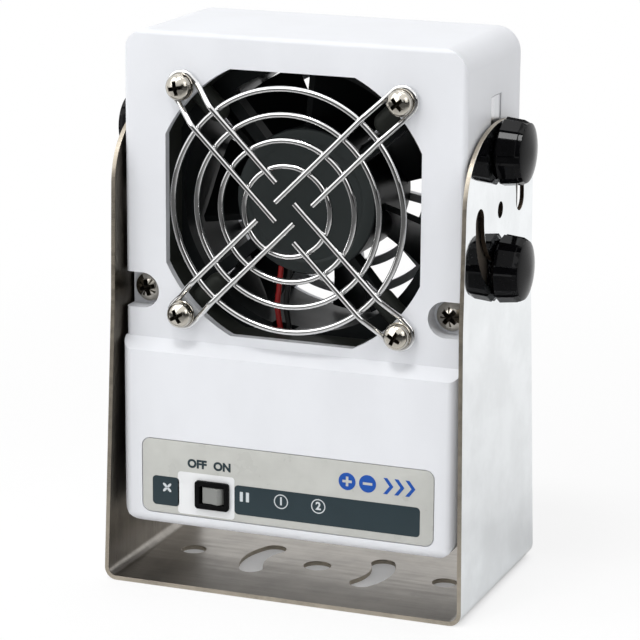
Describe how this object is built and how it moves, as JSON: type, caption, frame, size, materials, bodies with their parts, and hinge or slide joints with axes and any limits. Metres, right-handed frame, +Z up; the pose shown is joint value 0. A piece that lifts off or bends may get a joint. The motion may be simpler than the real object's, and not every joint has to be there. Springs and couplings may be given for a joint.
{
  "type": "ionizing blower",
  "caption": "Small bench ionizing blower: a fan blows over emitter needles behind a wire guard, in a case that tilts in a bent sheet-metal bracket with lobed clamp knobs.",
  "frame": {"origin": "middle of the underside of the bracket base", "axes": "+Z up, the fan and the panel face -Y, +X to the right as seen from behind the front view (right hand side in the front view)"},
  "size_m": [0.0954, 0.052, 0.1229],
  "materials": {
    "stainless": "brushed sheet, polished outside",
    "case_plastic": "fine satin moulding",
    "label_plastic": "satin printed film",
    "screw_nickel": "bright nickel plate",
    "guard_chrome": "bright chrome wire",
    "plate_steel": "zinc plated steel",
    "knob_black": "glossy moulding",
    "stud_steel": "machined thread",
    "emitter_grey": "satin moulding",
    "needle_tungsten": "ground point",
    "fan_black": "satin moulding",
    "bearing_steel": "ground",
    "coil_copper": "enamelled winding",
    "magnet_dark": "moulded magnet",
    "board_green": "solder mask",
    "part_black": "moulded parts",
    "lead_red": "wire insulation",
    "lead_black": "wire insulation",
    "lead_white": "silicone insulation",
    "switch_black": "moulding",
    "rocker_grey": "moulding",
    "pipe_clear": "frosted light guide"
  },
  "bodies": {
    "bracket": {"bracket": "stainless"},
    "head": {"front_case": "case_plastic", "rear_cover": "case_plastic", "rear_screws": "screw_nickel", "case_screws": "screw_nickel", "tilt_plate_left": "plate_steel", "tilt_plate_right": "plate_steel", "fan_guard": "guard_chrome", "guard_screws": "screw_nickel", "guard_washers": "screw_nickel", "fan_nuts": "stud_steel", "emitter_ring": "emitter_grey", "emitter_needles": "needle_tungsten", "emitter_lead": "lead_white", "fan_frame": "fan_black", "fan_bearings": "bearing_steel", "fan_stator": "coil_copper", "fan_circuit": "board_green", "fan_lead_red": "lead_red", "fan_lead_black": "lead_black", "control_board": "board_green", "board_parts": "part_black", "board_screws": "screw_nickel", "high_voltage_module": "part_black", "switch_body": "switch_black", "light_pipes": "pipe_clear", "panel_label": "label_plastic", "power_socket": "switch_black"},
    "rotor": {"fan_rotor": "fan_black", "rotor_magnet": "magnet_dark", "rotor_shaft": "bearing_steel"},
    "rocker": {"switch_rocker": "rocker_grey"},
    "knob_upper_left": {"knob_upper_left": "knob_black", "stud_upper_left": "stud_steel"},
    "knob_upper_right": {"knob_upper_right": "knob_black", "stud_upper_right": "stud_steel"},
    "knob_lower_left": {"knob_lower_left": "knob_black", "stud_lower_left": "stud_steel"},
    "knob_lower_right": {"knob_lower_right": "knob_black", "stud_lower_right": "stud_steel"}
  },
  "joints": [
    {"name": "head_tilt", "type": "hinge", "parent": "bracket", "child": "head", "pos_m": [0, 0, 0.0858], "axis": [-1, 0, 0], "range_deg": [0, 90]},
    {"name": "fan_spin", "type": "hinge", "parent": "head", "child": "rotor", "pos_m": [0, -0.0107, 0.0863], "axis": [0, 1, 0], "continuous": true},
    {"name": "switch_rock", "type": "hinge", "parent": "head", "child": "rocker", "pos_m": [-0.0172, -0.0209, 0.0212], "axis": [0, 0, 1], "range_deg": [0, 16]},
    {"name": "knob_upper_left_turn", "type": "hinge", "parent": "head", "child": "knob_upper_left", "pos_m": [-0.0406, 0, 0.0986], "axis": [-1, 0, 0], "range_deg": [0, 360]},
    {"name": "knob_upper_right_turn", "type": "hinge", "parent": "head", "child": "knob_upper_right", "pos_m": [0.0406, 0, 0.0986], "axis": [1, 0, 0], "range_deg": [0, 360]},
    {"name": "knob_lower_left_turn", "type": "hinge", "parent": "head", "child": "knob_lower_left", "pos_m": [-0.0406, 0, 0.073], "axis": [-1, 0, 0], "range_deg": [0, 360]},
    {"name": "knob_lower_right_turn", "type": "hinge", "parent": "head", "child": "knob_lower_right", "pos_m": [0.0406, 0, 0.073], "axis": [1, 0, 0], "range_deg": [0, 360]}
  ]
}
